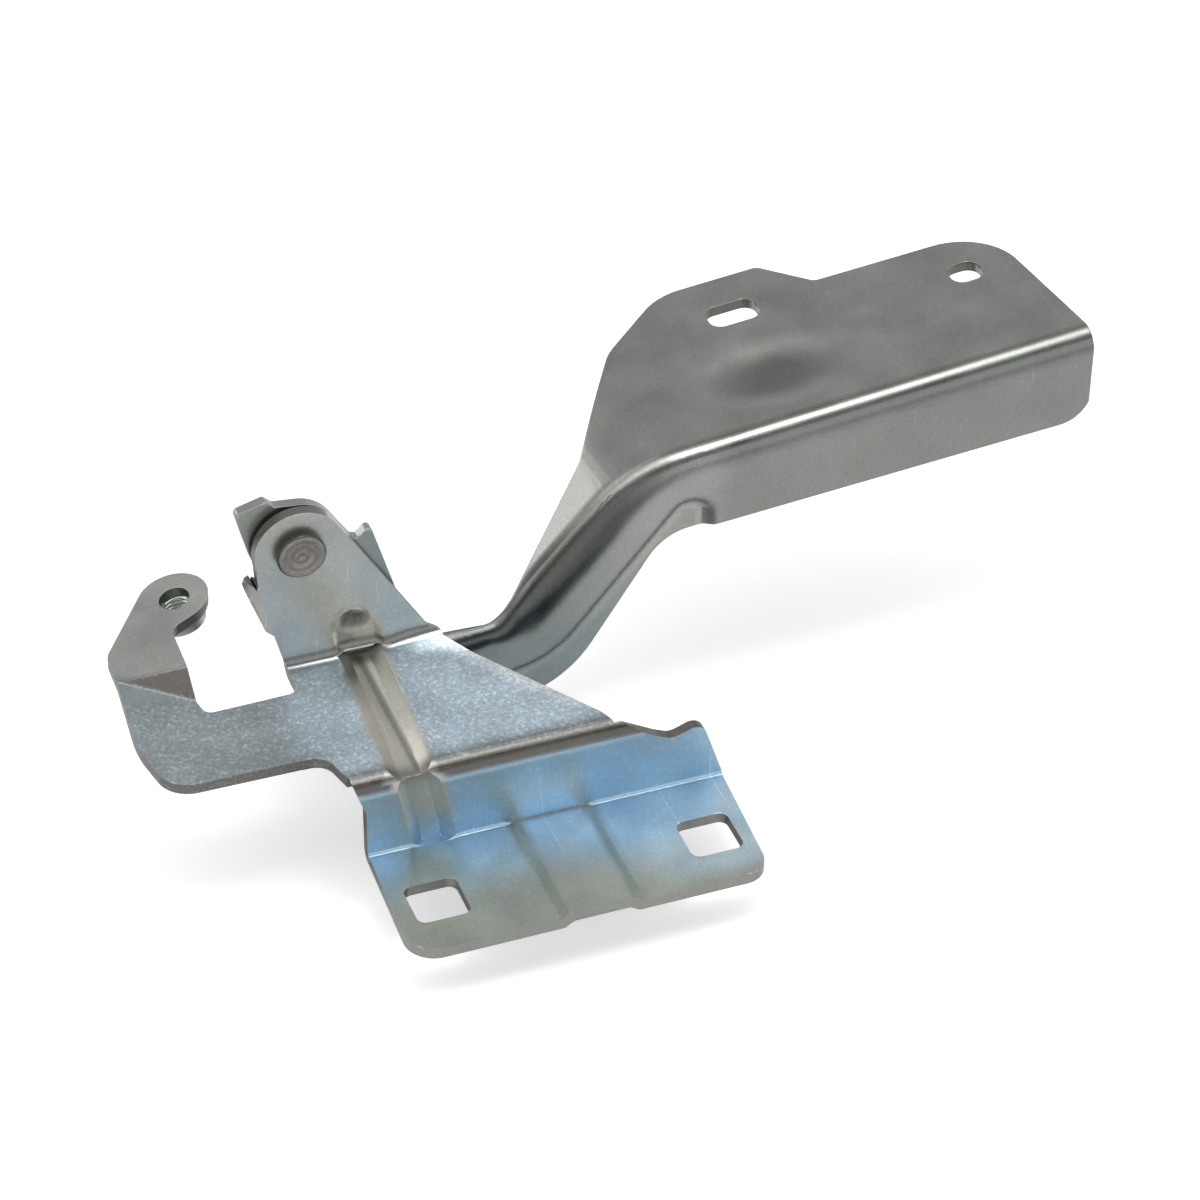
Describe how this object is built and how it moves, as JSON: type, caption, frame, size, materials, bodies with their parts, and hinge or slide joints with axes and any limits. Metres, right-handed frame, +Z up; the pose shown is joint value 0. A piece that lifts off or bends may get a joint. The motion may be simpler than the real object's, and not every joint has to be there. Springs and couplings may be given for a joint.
{
  "type": "bonnet hinge",
  "caption": "Stamped steel bonnet hinge: a body bracket that bolts down, a raised threaded lug, and a gooseneck arm with a wide flange that turns on a riveted pivot.",
  "frame": {"origin": "on the underside of the foot, midway between the two square holes", "axes": "+X along the bend lines towards the free end of the arm, +Y from the foot towards the arm, +Z up"},
  "size_m": [0.272, 0.1646, 0.0877],
  "materials": {
    "zinc_steel_bracket": "bright zinc plate, passivated blue-white",
    "zinc_steel_arm": "bright zinc plate, passivated grey-green",
    "rivet_steel": "formed steel, slightly browned",
    "bush_bronze": "sintered bronze, oiled",
    "nut_steel": "plated steel"
  },
  "bodies": {
    "bracket": {"body_bracket": "zinc_steel_bracket", "pivot_rivet": "rivet_steel", "thrust_washer": "rivet_steel", "lug_weld_nut": "nut_steel"},
    "arm": {"bonnet_arm": "zinc_steel_arm", "pivot_bush": "bush_bronze"}
  },
  "joints": [
    {"name": "bonnet_hinge", "type": "hinge", "parent": "bracket", "child": "arm", "pos_m": [-0.0474, 0.0789, 0.062], "axis": [0, -1, 0], "range_deg": [0, 52]}
  ]
}
